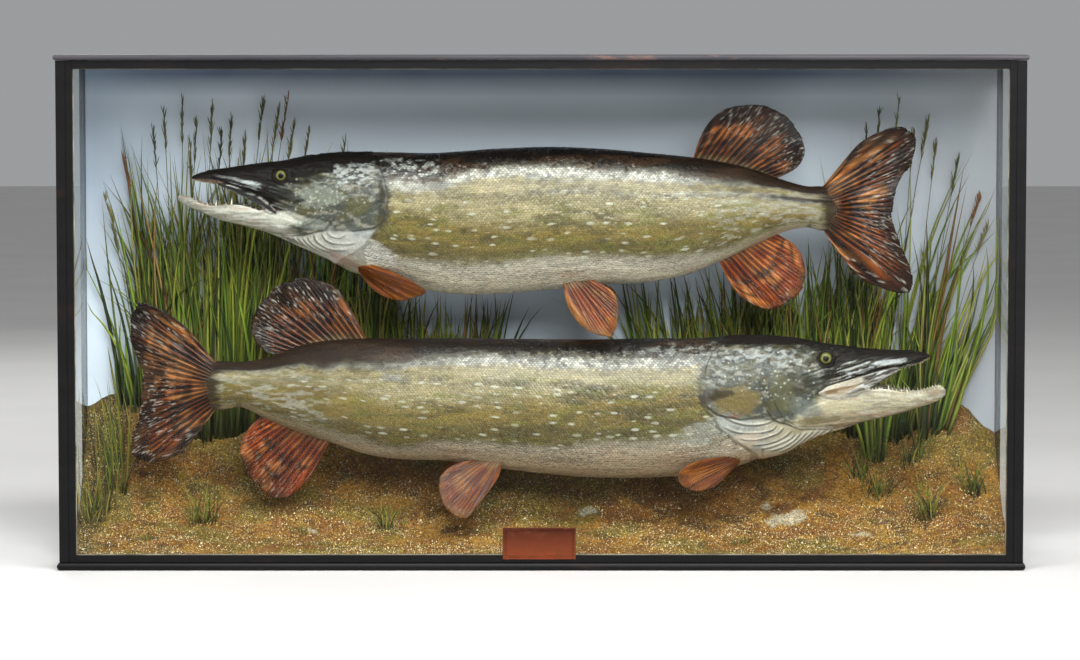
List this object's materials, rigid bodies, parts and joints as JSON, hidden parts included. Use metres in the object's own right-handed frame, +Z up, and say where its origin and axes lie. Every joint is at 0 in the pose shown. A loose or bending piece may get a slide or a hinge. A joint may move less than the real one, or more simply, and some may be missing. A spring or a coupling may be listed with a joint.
{
  "type": "mounted pike",
  "caption": "Life-size taxidermy pike fixed in a glazed display case with a second, plainer pike, reeds, sanded ground and a bare plaque.",
  "frame": {"origin": "middle of the underside of the case's base board", "axes": "+Z up; +X to the right of someone looking in at the front glass; +Y towards the back board, the glass faces -Y"},
  "size_m": [1.246, 0.286, 0.6625],
  "materials": {
    "ebonised_wood": "satin ebonised wood, worn a little reddish on its edges",
    "back_wood": "plain stained pine",
    "backdrop": "matt distemper on board, pale blue, darker slate blue at the top",
    "glass": "old clear window glass",
    "copper": "aged copper sheet, left bare apart from a plain engraved border",
    "groundwork": "ochre sanded papier-mache with grit and moss",
    "reeds": "dried and painted reeds, yellow-green with brown tips",
    "pike_skin": "varnished fish skin, black back, olive-gold flank with pale spots, cream belly",
    "pike_fin": "varnished fins, rusty brown with black blotches and pale rays",
    "pike_mouth": "varnished jaw, cream with ivory teeth",
    "eye": "glass eye, yellow iris with a black pupil",
    "steel": "painted steel rod"
  },
  "bodies": {
    "root": {"back_board": "back_wood", "backdrop": "backdrop", "base_board": "ebonised_wood", "glass_front": "glass", "glass_left": "glass", "glass_right": "glass", "groundwork": "groundwork", "pike_anal_fin": "pike_fin", "pike_belly": "pike_skin", "pike_caudal_fin": "pike_fin", "pike_dorsal_fin": "pike_fin", "pike_eye_left": "eye", "pike_eye_right": "eye", "pike_head": "pike_skin", "pike_loin": "pike_skin", "pike_lower_jaw": "pike_mouth", "pike_pectoral_fin_left": "pike_fin", "pike_pectoral_fin_right": "pike_fin", "pike_pelvic_fin_left": "pike_fin", "pike_pelvic_fin_right": "pike_fin", "pike_shoulders": "pike_skin", "pike_tail_stem": "pike_skin", "plaque": "copper", "post_back_left": "ebonised_wood", "post_back_right": "ebonised_wood", "post_front_left": "ebonised_wood", "post_front_right": "ebonised_wood", "rail_front_bottom": "ebonised_wood", "rail_front_top": "ebonised_wood", "rail_left_bottom": "ebonised_wood", "rail_left_top": "ebonised_wood", "rail_right_bottom": "ebonised_wood", "rail_right_top": "ebonised_wood", "reeds_far_left": "reeds", "reeds_far_right": "reeds", "reeds_left": "reeds", "reeds_middle_left": "reeds", "reeds_middle_right": "reeds", "reeds_right": "reeds", "rod_lower_front": "steel", "rod_lower_rear": "steel", "rod_upper_front": "steel", "rod_upper_rear": "steel", "top_board": "ebonised_wood", "upper_pike": "pike_skin"}
  },
  "joints": []
}
